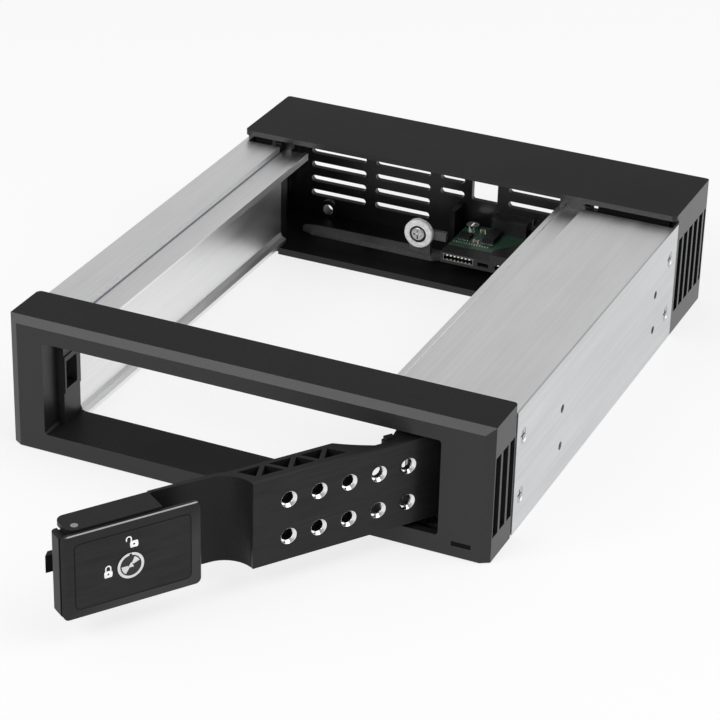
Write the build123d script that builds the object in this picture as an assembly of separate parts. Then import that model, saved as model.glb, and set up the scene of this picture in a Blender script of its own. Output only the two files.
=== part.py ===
from build123d import *
import os
from math import cos, radians, sin

# Hot-swap drive bay, in millimetres.
# Origin: middle of the bezel's front bottom edge. X to the right, Y to the rear, Z up.
# The door is drawn shut and then swung out to the rest pose.

os.makedirs("parts", exist_ok=True)

# Overall sizes
HALF_W = 73.0
BEZEL_D = 16.9
HOUSING_Y = 149.6
BACK_Y = HOUSING_Y + 29.6
HOUSING_H = 41.2
BEZEL_H = HOUSING_H - 0.2
RAIL_TOP = HOUSING_H - 3.4
FLANGE_TOP = RAIL_TOP - 2.0
WALL = 1.5

# Drive passage
RAIL_L_W = 12.7
RAIL_R_W = 30.1
PASS_L = -HALF_W + RAIL_L_W
PASS_R = HALF_W - RAIL_R_W
STEP_Y = 8.0
FLOOR_Z = 5.4
CEILING_Z = RAIL_TOP - 3.5
LIP_T = 1.5
CATCH_Y = (9.0, 14.8)
CATCH_Z = (16.3, 25.0)
LOUVRES = ((2.1, 5.7), (7.0, 10.7), (12.0, 15.3))
BAY_COUNT = 4

# Door and its hinge
HINGE_X = PASS_R + 2.45
HINGE_Y = 9.73
REST_ANGLE = 55.24
OPEN_LIMIT = 40.0
DOOR_Z0 = 7.1
DOOR_Z1 = CEILING_Z - 1.8
CHEEK_T = 1.3
CHEEK_R = 2.6
PLATE_T = 1.2
SKIN_Y = 2.6
HEEL_X = HINGE_X + 11.45
DOOR_END_X = PASS_L + 1.1
PIN_R = 1.25
PIN_TOP = RAIL_TOP + 0.2
SHAFT_GAP = 0.05

# Door lever and lock
LEVER_X0 = PASS_L - 1.15
LEVER_X1 = LEVER_X0 + 38.65
PLATE_END_X = LEVER_X1 + 14.9
LEVER_Z0 = 7.5
LEVER_Z1 = DOOR_Z1 - 0.5
LEVER_PIN_X = LEVER_X0 + 5.15
LEVER_PIN_Y = 3.8
LEVER_PIN_R = 1.0
LEVER_Y = 6.0
LOCK_X = LEVER_X0 + 18.4
LOCK_Z = 19.2
BARREL_R = 3.2
BARREL_END = 5.6
PLUG_R = 2.7
CAM_T = 1.0

# Side screws and drive-bay mounting holes
SCREW_Y = (BEZEL_D + 5.1, HOUSING_Y - 6.1)
SCREW_Z = (10.24, 28.66)
SCREW_R = 1.5
SCREW_HEAD_R = 2.5
SCREW_SUNK = 0.3
SCREW_HEAD_T = 1.2
MOUNT_Y = (52.24, 131.49)
MOUNT_Z = (10.0, 21.84)
MOUNT_R = 1.25

# Rails
FLANGE_TIP = 8.6
TOE_TIP = 2.0
TOE_TOP = 5.2
TOE_BOTTOM = 3.9
RAIL_TOP_END = HOUSING_Y - 3.3
RAIL_SIDE_END = HOUSING_Y - 1.9
LIP_Y = HOUSING_Y - 2.6
LIP_Z = HOUSING_H - 1.7
CAVITY_TOP = HOUSING_H - 2.9
COVER_T = 1.2

# Ejector
CRANK = 5.0
CRANK_PIN_R = 1.3
CRANK_PLAY = 0.4
SLIDE_Z0 = 3.0
SLIDE_Z1 = 4.2
SLIDE_PER_DEGREE = 0.0774
SLIDE_PIN_X = HINGE_X + 9.65
REAR_PIVOT_X = SLIDE_PIN_X - 30.0
REAR_PIVOT_Y = HOUSING_Y + 8.4
REAR_PIN_R = 1.1
EJECT_Z0 = 4.5
EJECT_Z1 = 6.0
PAD_X = REAR_PIVOT_X - 39.9
PAD_Z = 13.2
PAD_Y = HOUSING_Y + 5.4
PAD_T = 1.8
PAD_R = 4.85
PAD_SCREW_R = 2.4

# Backplane
BOARD_X0 = REAR_PIVOT_X - 30.0
BOARD_X1 = BOARD_X0 + 51.0
CONNECTOR_Y = HOUSING_Y + 1.4
BOARD_Y0 = CONNECTOR_Y + 6.0
BOARD_Y1 = BOARD_Y0 + 17.0
BOARD_Z = 9.7
BOARD_T = 1.5
BOARD_SCREWS = ((BOARD_X0 + 2.6, BOARD_Y1 - 2.7), (BOARD_X1 - 2.6, BOARD_Y1 - 2.7))

# Status light
PIPE_X = HALF_W - 8.0
PIPE_Z = 4.0
PIPE_R = 1.0
WINDOW_D = 2.2
LED_Y = HOUSING_Y + 10.4


def box(x0, x1, y0, y1, z0, z1):
    return Pos((x0 + x1) / 2, (y0 + y1) / 2, (z0 + z1) / 2) * Box(x1 - x0, y1 - y0, z1 - z0)


def rod_x(x0, x1, y, z, r):
    return Pos((x0 + x1) / 2, y, z) * Rot(0, 90, 0) * Cylinder(r, x1 - x0)


def rod_y(x, y0, y1, z, r):
    return Pos(x, (y0 + y1) / 2, z) * Rot(90, 0, 0) * Cylinder(r, y1 - y0)


def rod_z(x, y, z0, z1, r):
    return Pos(x, y, (z0 + z1) / 2) * Cylinder(r, z1 - z0)


def cone_x(x0, x1, y, z, r0, r1):
    return Pos((x0 + x1) / 2, y, z) * Rot(0, 90, 0) * Cone(r0, r1, x1 - x0)


def cone_y(x, y0, y1, z, r0, r1):
    return Pos(x, (y0 + y1) / 2, z) * Rot(-90, 0, 0) * Cone(r0, r1, y1 - y0)


def plan(points, z0, z1):
    return extrude(Pos(0, 0, z0) * make_face(Polyline(*points, close=True)), z1 - z0, dir=(0, 0, 1))


def section(points, y0, y1):
    outline = Polyline(*[(x, y0, z) for x, z in points], close=True)
    return extrude(make_face(outline), y1 - y0, dir=(0, 1, 0))


def rounded_slot_y(x0, x1, y0, y1, z0, z1, r):
    window = Pos((x0 + x1) / 2, y0, (z0 + z1) / 2) * Rot(-90, 0, 0) * RectangleRounded(x1 - x0, z1 - z0, r)
    return extrude(window, y1 - y0, dir=(0, 1, 0))


def swing(piece):
    return Pos(HINGE_X, HINGE_Y, 0) * Rot(0, 0, REST_ANGLE) * Pos(-HINGE_X, -HINGE_Y, 0) * piece


def save(piece, name):
    export_step(piece, "parts/" + name + ".step")


# Front bezel: one black moulding
bezel = box(-HALF_W, HALF_W, 0, BEZEL_D, 0, BEZEL_H)
bezel = fillet(bezel.edges().filter_by(Axis.Z).sort_by(Axis.Y)[-2:], 1.5)
TOP_BEVEL = (1.6, 2.2)
SIDE_BEVEL = (1.6, 2.6)
over = BEZEL_H + 1.0
drop = TOP_BEVEL[1] + 1.0
bevel = Polyline((-HALF_W - 1, 0, over - drop), (-HALF_W - 1, 0, over),
                 (-HALF_W - 1, TOP_BEVEL[0] * drop / TOP_BEVEL[1], over), close=True)
bezel -= extrude(make_face(bevel), 2 * HALF_W + 2, dir=(1, 0, 0))
for side in (-1, 1):
    inner = side * (HALF_W - SIDE_BEVEL[1])
    outer = side * (HALF_W + 1.0)
    corner = [(inner, -0.001), (outer, -0.001), (outer, SIDE_BEVEL[0] * (SIDE_BEVEL[1] + 1) / SIDE_BEVEL[1])]
    bezel -= plan(corner, -1, BEZEL_H + 1)
mouth_l = PASS_L - 2.0
mouth_r = HEEL_X + 1.4
pocket_r = HEEL_X + 4.5
bezel -= rounded_slot_y(mouth_l, mouth_r, -1, STEP_Y, FLOOR_Z, CEILING_Z, 1.0)
bezel -= box(PASS_L, pocket_r, LIP_T, BEZEL_D + 1, FLOOR_Z, CEILING_Z)
bezel -= box(-HALF_W + 2, mouth_l - 1.5, 2.0, BEZEL_D + 1, 4.0, RAIL_TOP - WALL)
bezel -= box(pocket_r + 1.7, HALF_W - 2, 2.0, BEZEL_D + 1, 6.2, RAIL_TOP - WALL)
bezel -= box(mouth_l - 5, PASS_L + 1, CATCH_Y[0], CATCH_Y[1], CATCH_Z[0], CATCH_Z[1])
frame = box(PASS_L - 0.1, PASS_L + 0.3, STEP_Y + 0.2, BEZEL_D, CATCH_Z[0] - 1.3, CATCH_Z[1] + 1.6)
bezel += frame - box(PASS_L - 1, PASS_L + 1, CATCH_Y[0], CATCH_Y[1], CATCH_Z[0], CATCH_Z[1])
bay_w = (PASS_R - PASS_L - 5.0) / BAY_COUNT
for i in range(BAY_COUNT):
    x0 = PASS_L + 2.5 + bay_w * i
    for z0, z1 in ((RAIL_TOP - WALL, BEZEL_H - 2.4), (1.6, 3.8)):
        bezel -= box(x0, x0 + bay_w - 2.0, 2.5, BEZEL_D + 1, z0, z1)
for side in (-1, 1):
    wall = side * (HALF_W - WALL) if side < 0 else HALF_W - COVER_T
    inner = wall - side * 3.0
    lo, hi = min(wall, inner), max(wall, inner)
    bezel += box(lo, hi, 10.0, BEZEL_D + 10.1, 5.0, RAIL_TOP - 4.8)
    for y0, y1 in LOUVRES:
        bezel -= box(*sorted((side * (HALF_W - 7), side * (HALF_W + 1))), y0, y1, 7.2, RAIL_TOP - 6.3)
    for z in SCREW_Z:
        bezel -= rod_x(lo - 1, hi + 1, SCREW_Y[0], z, SCREW_R)
bezel -= box(HINGE_X - 0.35, pocket_r - 0.8, 2.5, BEZEL_D + 1, SLIDE_Z0 - 0.4, FLOOR_Z + 0.1)
bezel += rod_z(HINGE_X, HINGE_Y, SLIDE_Z0 - 0.5, FLOOR_Z, 2.6)
bezel -= rod_z(HINGE_X, HINGE_Y, -1, PIN_TOP, PIN_R)
bezel -= box(PIPE_X - 2.9, PIPE_X + 2.8, -1, WINDOW_D, PIPE_Z - 0.7, PIPE_Z + 0.7)
bezel -= rod_y(PIPE_X, 1, BEZEL_D + 1, PIPE_Z, PIPE_R + SHAFT_GAP)
save(bezel, "front_bezel")

save(box(PIPE_X - 2.85, PIPE_X + 2.75, 0.15, WINDOW_D, PIPE_Z - 0.65, PIPE_Z + 0.65), "status_window")
save(rod_y(PIPE_X, WINDOW_D, LED_Y, PIPE_Z, PIPE_R), "light_pipe")

# Rails: aluminium
flange_x = PASS_L + FLANGE_TIP
left_outline = [
    (-HALF_W, 0), (-HALF_W, RAIL_TOP), (PASS_L, RAIL_TOP), (PASS_L, FLANGE_TOP),
    (flange_x - 1.8, FLANGE_TOP), (flange_x - 1.6, FLANGE_TOP + 0.4), (flange_x, FLANGE_TOP + 0.4),
    (flange_x, FLANGE_TOP - 2), (flange_x - 1.8, FLANGE_TOP - 2), (flange_x - 1.8, FLANGE_TOP - WALL),
    (PASS_L, FLANGE_TOP - WALL), (PASS_L, TOE_TOP + 2), (PASS_L + 0.6, TOE_TOP + 0.6),
    (PASS_L + TOE_TIP, TOE_TOP), (PASS_L + TOE_TIP, TOE_BOTTOM), (PASS_L - 2, TOE_BOTTOM), (PASS_L - 2, 0),
]
left_hollow = [
    (-HALF_W + WALL, WALL), (-HALF_W + WALL, RAIL_TOP - WALL), (PASS_L - WALL, RAIL_TOP - WALL),
    (PASS_L - WALL, TOE_TOP), (PASS_L - 2 - WALL, TOE_BOTTOM), (PASS_L - 2 - WALL, WALL),
]
rail_left = section(left_outline, BEZEL_D, HOUSING_Y) - section(left_hollow, BEZEL_D - 1, HOUSING_Y + 1)
rail_left -= box(-HALF_W + WALL, PASS_L + 5, RAIL_SIDE_END, HOUSING_Y + 1, -1, FLANGE_TOP - WALL)
rail_left -= box(-HALF_W + WALL, PASS_L, RAIL_TOP_END, HOUSING_Y + 1, FLANGE_TOP - WALL - 0.5, RAIL_TOP + 1)

mirror_x = PASS_L + PASS_R
right_outline = [(mirror_x - x, z) for x, z in left_outline[2:]]
cover_x = HALF_W - COVER_T
right_outline += [(cover_x, 0), (cover_x, WALL), (PASS_R + 2 + WALL, WALL)]
right_outline += [(PASS_R + 2 + WALL, TOE_BOTTOM), (PASS_R + WALL, TOE_TOP), (PASS_R + WALL, RAIL_TOP - WALL)]
right_outline += [(cover_x - 1.2, RAIL_TOP - WALL), (cover_x - 1.2, RAIL_TOP - 4.6), (cover_x, RAIL_TOP - 4.6)]
right_outline += [(cover_x, RAIL_TOP - 0.7), (cover_x + 0.6, RAIL_TOP - 0.7), (cover_x + 0.6, RAIL_TOP)]
rail_right = section(right_outline, BEZEL_D, HOUSING_Y)
rail_right -= box(PASS_R - 5, HALF_W + 1, RAIL_SIDE_END, HOUSING_Y + 1, -1, FLANGE_TOP - WALL)
rail_right -= box(PASS_R, HALF_W + 1, RAIL_TOP_END, HOUSING_Y + 1, FLANGE_TOP - WALL - 0.5, RAIL_TOP + 1)
rail_right -= box(cover_x - 4, cover_x + 0.1, BEZEL_D - 1, BEZEL_D + 11, RAIL_TOP - 4.7, RAIL_TOP - WALL)
rail_right -= box(cover_x - 4, cover_x + 0.1, HOUSING_Y - 12.6, HOUSING_Y + 1, RAIL_TOP - 4.7, RAIL_TOP - WALL)

cover = box(cover_x, HALF_W, BEZEL_D, HOUSING_Y, 0, RAIL_TOP - 0.7)
cover += box(cover_x + 0.6, HALF_W, BEZEL_D, HOUSING_Y, RAIL_TOP - 0.8, RAIL_TOP)

screws = []
for side in (-1, 1):
    face = side * HALF_W
    for y in SCREW_Y:
        for z in SCREW_Z:
            neck = face - side * SCREW_HEAD_T
            tip = face - side * 5.0
            hole = cone_x(min(face, neck), max(face, neck), y, z,
                          SCREW_HEAD_R if side < 0 else SCREW_R, SCREW_R if side < 0 else SCREW_HEAD_R)
            shank = rod_x(min(neck, tip), max(neck, tip), y, z, SCREW_R)
            if side < 0:
                rail_left -= hole + shank
            else:
                cover -= hole + shank
            deep = face - side * 0.9
            top = face - side * SCREW_SUNK
            recess = box(min(face, deep), max(face, deep), y - 1.4, y + 1.4, z - 0.25, z + 0.25)
            recess += box(min(face, deep), max(face, deep), y - 0.25, y + 0.25, z - 1.4, z + 1.4)
            recess += rod_x(min(face, top), max(face, top), y, z, SCREW_HEAD_R + 1)
            screws.append(hole + shank - recess)
    for y in MOUNT_Y:
        for z in MOUNT_Z:
            if side < 0:
                rail_left -= rod_x(-HALF_W - 1, -HALF_W + 3, y, z, MOUNT_R)
            else:
                cover -= rod_x(HALF_W - 3, HALF_W + 1, y, z, MOUNT_R)
save(rail_left, "rail_left")
save(rail_right, "rail_right")
save(cover, "rail_right_cover")
save(Compound(children=screws), "rail_screws")

# Rear housing: one black moulding
housing = box(-HALF_W, HALF_W, HOUSING_Y, BACK_Y, 0, HOUSING_H)
housing = fillet(housing.edges().filter_by(Axis.Z).sort_by(Axis.Y)[-2:], 1.0)
housing -= box(-HALF_W + 2, HALF_W - 2, HOUSING_Y - 1, BACK_Y - 2, 2.3, CAVITY_TOP)
lip = box(-HALF_W, HALF_W, LIP_Y, HOUSING_Y + 0.1, LIP_Z, HOUSING_H)
housing += fillet(lip.edges().filter_by(Axis.Z).sort_by(Axis.Y)[:2], 1.5)
housing += box(PASS_L - 2, PASS_R + 2, RAIL_SIDE_END, HOUSING_Y + 1, 0, 2.3)
housing += box(PASS_L, PASS_R, HOUSING_Y - 3.6, RAIL_SIDE_END + 1, 0, 2.3)
for x0, x1 in ((PASS_L - 2, PASS_L), (PASS_R, PASS_R + 2)):
    housing += box(x0, x1, RAIL_SIDE_END, HOUSING_Y + 2.4, 2.0, CAVITY_TOP + 0.2)
for x0, x1 in ((PASS_R - 8.4, PASS_R), (PASS_L, PASS_L + 2.5)):
    housing += box(x0, x1, HOUSING_Y, HOUSING_Y + 2.4, FLANGE_TOP, CAVITY_TOP + 0.2)
for side in (-1, 1):
    wall = -HALF_W + WALL if side < 0 else HALF_W - COVER_T
    inner = wall - side * 3.0
    lo, hi = min(wall, inner), max(wall, inner)
    housing += box(lo, hi, HOUSING_Y - 11.6, HOUSING_Y + 2.4, 5.0, RAIL_TOP - 4.8)
    x0, x1 = (-HALF_W + 2.5, PASS_L - 4.2) if side < 0 else (PASS_R + 4.1, HALF_W - 3.0)
    housing += box(x0, x1, HOUSING_Y - 9.6, HOUSING_Y + 2.4, RAIL_TOP - 3.0, RAIL_TOP - WALL)
    housing += box(x0, x1, RAIL_TOP_END + 0.3, HOUSING_Y + 2.4, RAIL_TOP - 2.3, RAIL_TOP - 0.8)
    housing += box(x0, x1, HOUSING_Y, HOUSING_Y + 2.4, RAIL_TOP - 3.0, CAVITY_TOP + 0.2)
    for i in range(6):
        y0 = HOUSING_Y + 1.8 + 4.95 * i
        y1 = y0 + (3.5 if i < 5 else 1.6)
        housing -= box(*sorted((side * (HALF_W - 7), side * (HALF_W + 1))), y0, y1, 7.2, RAIL_TOP - 6.1)
    for z in SCREW_Z:
        housing -= rod_x(lo - 1, hi + 1, SCREW_Y[1], z, SCREW_R)
SLOT_ROWS = (8.3, 13.35, 18.4, 23.45, 28.5)
for row, z in enumerate(SLOT_ROWS):
    columns = [(9.9, 29.7), (33.2, 52.7)]
    if row > 1:
        columns += [(56.4, 64.8), (80.3, 100.0), (103.6, 123.3)]
    for x0, x1 in columns:
        housing -= rounded_slot_y(x0 - HALF_W, x1 - HALF_W, BACK_Y - 3, BACK_Y + 1, z, z + 2.2, 1.05)
housing -= rounded_slot_y(67.5 - HALF_W, 76.4 - HALF_W, BACK_Y - 3, BACK_Y + 1, 18.4, 27.5, 0.8)
housing += rod_y(17.0 - HALF_W, BACK_Y - 4.2, BACK_Y - 1, 5.0, 3.2)
housing -= rod_y(17.0 - HALF_W, BACK_Y - 5.2, BACK_Y + 1, 5.0, 1.8)
housing += box(BOARD_X0 - 4.5, BOARD_X0 - 2.7, BACK_Y - 10.7, BACK_Y - 1, 2.0, 17.0)
for x, y in BOARD_SCREWS:
    housing += rod_z(x, y, 2.0, BOARD_Z, 2.6)
    housing -= rod_z(x, y, BOARD_Z - 5.0, BOARD_Z + 1, 1.0)
housing += rod_z(REAR_PIVOT_X, REAR_PIVOT_Y, 2.0, EJECT_Z0 - 0.1, 4.0)
housing -= rod_z(REAR_PIVOT_X, REAR_PIVOT_Y, -1, EJECT_Z0, 1.5)
BOARD_TOP = BOARD_Z + BOARD_T
PLUG_TOP = BOARD_TOP + 4.6
HOST_PLUGS = {
    "host_data_connector": (BOARD_X0 + 9.0, 12.0, 6.8),
    "host_power_connector": (BOARD_X0 + 23.0, 22.0, 16.8),
}
for x0, width, tongue in HOST_PLUGS.values():
    housing -= box(x0 - 0.3, x0 + width + 0.3, BACK_Y - 3, BACK_Y + 1, BOARD_TOP - 0.3, PLUG_TOP + 0.3)
housing += box(PIPE_X - 2.2, PIPE_X + 2.2, LED_Y, LED_Y + 7, 2.0, 6.5)
housing -= rod_y(PIPE_X, LED_Y - 1, LED_Y + 6, PIPE_Z, 1.5)
save(housing, "rear_housing")

save(rod_y(PIPE_X, LED_Y, LED_Y + 6, PIPE_Z, 1.5), "status_led")

# Backplane board and its connectors
board = box(BOARD_X0, BOARD_X1, BOARD_Y0, BOARD_Y1, BOARD_Z, BOARD_Z + BOARD_T)
board_screws = []
for x, y in BOARD_SCREWS:
    board -= rod_z(x, y, BOARD_Z - 1, BOARD_Z + BOARD_T + 1, 1.2)
    screw = rod_z(x, y, BOARD_Z - 4.6, BOARD_Z + BOARD_T, 1.0)
    screw += rod_z(x, y, BOARD_Z + BOARD_T, BOARD_Z + BOARD_T + 1.4, 2.1)
    screw -= box(x - 1.3, x + 1.3, y - 0.25, y + 0.25, BOARD_Z + BOARD_T + 0.7, BOARD_Z + BOARD_T + 2)
    screw -= box(x - 0.25, x + 0.25, y - 1.3, y + 1.3, BOARD_Z + BOARD_T + 0.7, BOARD_Z + BOARD_T + 2)
    board_screws.append(screw)
save(board, "backplane_board")
save(Compound(children=board_screws), "board_screws")

PLUG_X = BOARD_X0 - 0.3
shroud_x = PLUG_X + 16.8
end_x = PLUG_X + 38.3
connector = box(PLUG_X, end_x, CONNECTOR_Y, BOARD_Y0, 7.4, 11.0)
connector += box(BOARD_X0, end_x, BOARD_Y0 - 1, BOARD_Y0 + 2.5, 7.4, BOARD_Z)
connector += plan([(shroud_x, CONNECTOR_Y), (end_x, CONNECTOR_Y), (end_x, BOARD_Y0), (shroud_x + 2, BOARD_Y0),
                   (shroud_x, BOARD_Y0 - 2)], 7.4, 13.4)
rear_step = [(shroud_x, BOARD_Y0 - 2), (end_x, BOARD_Y0 - 2), (end_x, BOARD_Y0 + 7.5), (shroud_x + 8, BOARD_Y0 + 7.5)]
connector += plan(rear_step, BOARD_TOP, 13.4)
for x0, x1 in ((1.3, 11.2), (12.9, 16.6), (18.8, 36.8)):
    connector -= box(PLUG_X + x0, PLUG_X + x1, CONNECTOR_Y - 1, CONNECTOR_Y + 4.5, 8.6, 9.9)
contacts = []
CONTACT_PITCH = 1.27
contact_x = [PLUG_X + 2.45 + CONTACT_PITCH * i for i in range(7)]
contact_x += [PLUG_X + 20.0 + CONTACT_PITCH * i for i in range(13)]
for x in contact_x:
    connector -= box(x - 0.3, x + 0.3, CONNECTOR_Y - 1, CONNECTOR_Y + 5.0, 9.9, 10.4)
    contacts.append(box(x - 0.3, x + 0.3, CONNECTOR_Y + 0.1, CONNECTOR_Y + 5.0, 9.9, 10.4))
save(connector, "drive_connector")
save(Compound(children=contacts), "connector_contacts")

for name, (x0, width, tongue) in HOST_PLUGS.items():
    shell = box(x0, x0 + width, BOARD_Y1 - 2.5, BACK_Y, BOARD_TOP, PLUG_TOP)
    shell -= box(x0 + 1.2, x0 + width - 1.2, BOARD_Y1 - 0.5, BACK_Y + 1, BOARD_TOP + 0.9, PLUG_TOP - 0.9)
    shell += box(x0 + 2.2, x0 + 2.2 + tongue, BOARD_Y1 - 1, BACK_Y - 1.5, PLUG_TOP - 2.1, PLUG_TOP - 1.1)
    shell += box(x0 + 2.2, x0 + 3.3, BOARD_Y1 - 1, BACK_Y - 1.5, PLUG_TOP - 2.9, PLUG_TOP - 1.1)
    save(shell, name)

# Door: moulded body with a truss of ribs, drawn shut
SCOOP_R = 8.3
scoop_x = PLATE_END_X - SCOOP_R
lip_x = scoop_x + (SCOOP_R ** 2 - PLATE_T ** 2) ** 0.5
scoop_mid = (scoop_x + SCOOP_R * cos(radians(45)), SCOOP_R * sin(radians(45)))
RECESS_END_X = LEVER_X1 - 10.2
TRUSS_END_X = HINGE_X - 24.85
BACK_T = 8.9
door_line = Polyline((lip_x, PLATE_T), (HEEL_X - 0.4, PLATE_T), (HEEL_X - 0.4, SKIN_Y), (TRUSS_END_X + 9.3, SKIN_Y))
door_line += ThreePointArc((TRUSS_END_X + 9.3, SKIN_Y), (TRUSS_END_X + 4.5, 5.5), (TRUSS_END_X, BACK_T))
door_line += Polyline((TRUSS_END_X, BACK_T), (PLATE_END_X - 3, BACK_T), (PLATE_END_X - 6, 9.8), (RECESS_END_X, 10.1),
                      (RECESS_END_X, 9.1), (scoop_x, SCOOP_R))
door_line += ThreePointArc((scoop_x, SCOOP_R), scoop_mid, (lip_x, PLATE_T))
door = extrude(Pos(0, 0, DOOR_Z0) * make_face(door_line), DOOR_Z1 - DOOR_Z0, dir=(0, 0, 1))
TRUSS_COUNT = 3
truss_x = PLATE_END_X - 2.0
RIB_PITCH = (TRUSS_END_X - 2.5 - truss_x) / TRUSS_COUNT
back_x = [truss_x + RIB_PITCH * i for i in range(TRUSS_COUNT + 1)]
front_x = [x + RIB_PITCH / 2 for x in back_x]
pockets = []
for i in range(TRUSS_COUNT):
    pockets.append([(back_x[i], BACK_T - 1), (back_x[i + 1], BACK_T - 1), (front_x[i], SKIN_Y)])
    pockets.append([(front_x[i], SKIN_Y), (front_x[i + 1], SKIN_Y), (back_x[i + 1], BACK_T - 1)])
for points in pockets:
    mid_x = sum(x for x, y in points) / 3
    mid_y = sum(y for x, y in points) / 3
    shrunk = [(mid_x + 0.72 * (x - mid_x), mid_y + 0.78 * (y - mid_y)) for x, y in points]
    door -= plan(shrunk, DOOR_Z0 - 1, DOOR_Z1 + 1)

CHEEKS = ((DOOR_Z0, DOOR_Z0 + CHEEK_T), (DOOR_Z1 - CHEEK_T, DOOR_Z1))
for z0, z1 in CHEEKS:
    cheek = box(DOOR_END_X, RECESS_END_X, 1.5, 9.7, z0, z1)
    door += fillet(cheek.edges().filter_by(Axis.Z).group_by(Axis.X)[0], CHEEK_R)
back_wall = box(DOOR_END_X + CHEEK_R, RECESS_END_X + 0.5, 8.7, 9.7, DOOR_Z0, DOOR_Z1)
door += back_wall - box(DOOR_END_X, LEVER_PIN_X + 3.0, 8, 11, 16.3, 22.7)

arm = [(-12.35, SKIN_Y - 0.1), (7.65, SKIN_Y - 0.1), (5.25, 7.4), (1.85, 11.0), (-1.75, 11.2), (-8.95, 4.6),
       (-12.35, 4.6)]
arm = [(HINGE_X + x, y) for x, y in arm]
for z0, z1, b0, b1 in ((DOOR_Z0, DOOR_Z0 + 3.0, FLOOR_Z + 0.3, DOOR_Z0 + 3.0),
                       (DOOR_Z1 - 3.0, DOOR_Z1, DOOR_Z1 - 3.0, CEILING_Z - 0.3)):
    door += plan(arm, z0, z1)
    door += rod_z(HINGE_X, HINGE_Y, b0, b1, 2.4)
door -= rod_z(HINGE_X, HINGE_Y, 0, 40, PIN_R + SHAFT_GAP)
door += box(HINGE_X - 11.95, HINGE_X - 9.35, 3.0, 4.4, DOOR_Z1 - 0.1, DOOR_Z1 + 1.0)
CRANK_REST = (OPEN_LIMIT - REST_ANGLE) / -2
crank_angle = CRANK_REST - REST_ANGLE
crank_x = HINGE_X + CRANK * cos(radians(crank_angle))
crank_y = HINGE_Y + CRANK * sin(radians(crank_angle))
door += rod_z(crank_x, crank_y, SLIDE_Z0, DOOR_Z0 + 0.5, CRANK_PIN_R)

plate = box(PLATE_END_X, HEEL_X, 0, PLATE_T, DOOR_Z0, DOOR_Z1)
plate = fillet(plate.edges().filter_by(Axis.Z).group_by(Axis.X)[-1].sort_by(Axis.Y)[0:1], 1.0)
HOLE_PITCH = 9.02
HOLE_X = [HINGE_X - 6.55 - HOLE_PITCH * i for i in range(5)]
for x in HOLE_X:
    for z in (14.05, 25.1):
        plate -= rod_y(x, -1, PLATE_T + 1, z, 1.7)
        plate -= cone_y(x, 0, 1.1, z, 2.8, 1.7)
        door -= rod_y(x, 0, SKIN_Y + 0.3, z, 1.7)
for z0, z1 in CHEEKS:
    door -= rod_z(LEVER_PIN_X, LEVER_PIN_Y, z0 - 1, z1 + 1, LEVER_PIN_R)
save(swing(door), "door_body")
save(swing(plate), "door_face_plate")
save(rod_z(HINGE_X, HINGE_Y, 0.4, PIN_TOP, PIN_R), "hinge_pin")
save(swing(rod_z(LEVER_PIN_X, LEVER_PIN_Y, DOOR_Z0 + 0.1, DOOR_Z1, LEVER_PIN_R)), "handle_pin")

# Door lever: moulded body with the catch hook, and its front plate
lever_z0 = DOOR_Z0 + CHEEK_T + 0.2
lever_z1 = DOOR_Z1 - CHEEK_T - 0.2
lever = box(LEVER_X0 + 0.3, LEVER_X1 - 0.6, PLATE_T, SKIN_Y, lever_z0, lever_z1)
end_block = box(LEVER_X0 - 0.1, DOOR_END_X - 0.4, PLATE_T, 7.0, lever_z0, lever_z1)
lever += fillet(end_block.edges().filter_by(Axis.Z).group_by(Axis.X)[0].sort_by(Axis.Y)[-1:], 1.5)
for z0, z1 in ((lever_z0, lever_z0 + 1.2), (lever_z1 - 1.2, lever_z1)):
    lever += box(LEVER_X0 + 1, LOCK_X + 6.3, PLATE_T, LEVER_Y, z0, z1)
for z0, z1 in ((lever_z0, lever_z0 + 4.0), (lever_z1 - 4.0, lever_z1)):
    lever += rod_z(LEVER_PIN_X, LEVER_PIN_Y, z0, z1, 2.2)
hook = [(-3.5, PLATE_T), (-1.3, PLATE_T), (-1.3, 9.0), (-2.3, 11.4), (-4.1, 11.4), (-5.6, 9.5), (-3.5, 9.5)]
lever += plan([(LEVER_PIN_X + x, y) for x, y in hook], 17.0, 22.0)
lever -= rod_z(LEVER_PIN_X, LEVER_PIN_Y, 0, 40, LEVER_PIN_R + SHAFT_GAP)
lever -= rod_z(LEVER_PIN_X, LEVER_PIN_Y, lever_z0 + 4.0, lever_z0 + 8.9, 2.15)
lever -= rod_y(LOCK_X, 0, 8, LOCK_Z, BARREL_R)
lever_plate = box(LEVER_X0, LEVER_X1, 0, PLATE_T, LEVER_Z0, LEVER_Z1)
lever_plate = fillet(lever_plate.edges().filter_by(Axis.Y), 1.6)
lever_plate = chamfer(lever_plate.faces().sort_by(Axis.Y)[0].edges(), 0.3)
rim = [(-1, -1), (0.9, -1), (0.9, 0), (0, 0.9), (-1, 0.9)]
lever_plate -= plan([(LEVER_X0 + x, y) for x, y in rim], 0, BEZEL_H)
lever_plate -= rod_y(LOCK_X, -1, 2, LOCK_Z, BARREL_R)
save(swing(lever), "handle_body")
save(swing(lever_plate), "handle_plate")

coil = sweep(Plane(origin=(1.55, 0, 0), z_dir=(0, 1, 0.1)) * Circle(0.28), path=Helix(0.75, 3.0, 1.55))
coil = Pos(LEVER_PIN_X, LEVER_PIN_Y, 13.2) * coil
coil += box(LEVER_PIN_X + 1.3, LEVER_PIN_X + 1.8, LEVER_PIN_Y - 1.2, LEVER_PIN_Y + 0.1, 12.95, 13.45)
coil += box(LEVER_PIN_X + 1.3, LEVER_PIN_X + 1.8, LEVER_PIN_Y - 0.1, LEVER_PIN_Y + 4.9, 15.95, 16.45)
save(swing(coil), "handle_spring")

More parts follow.
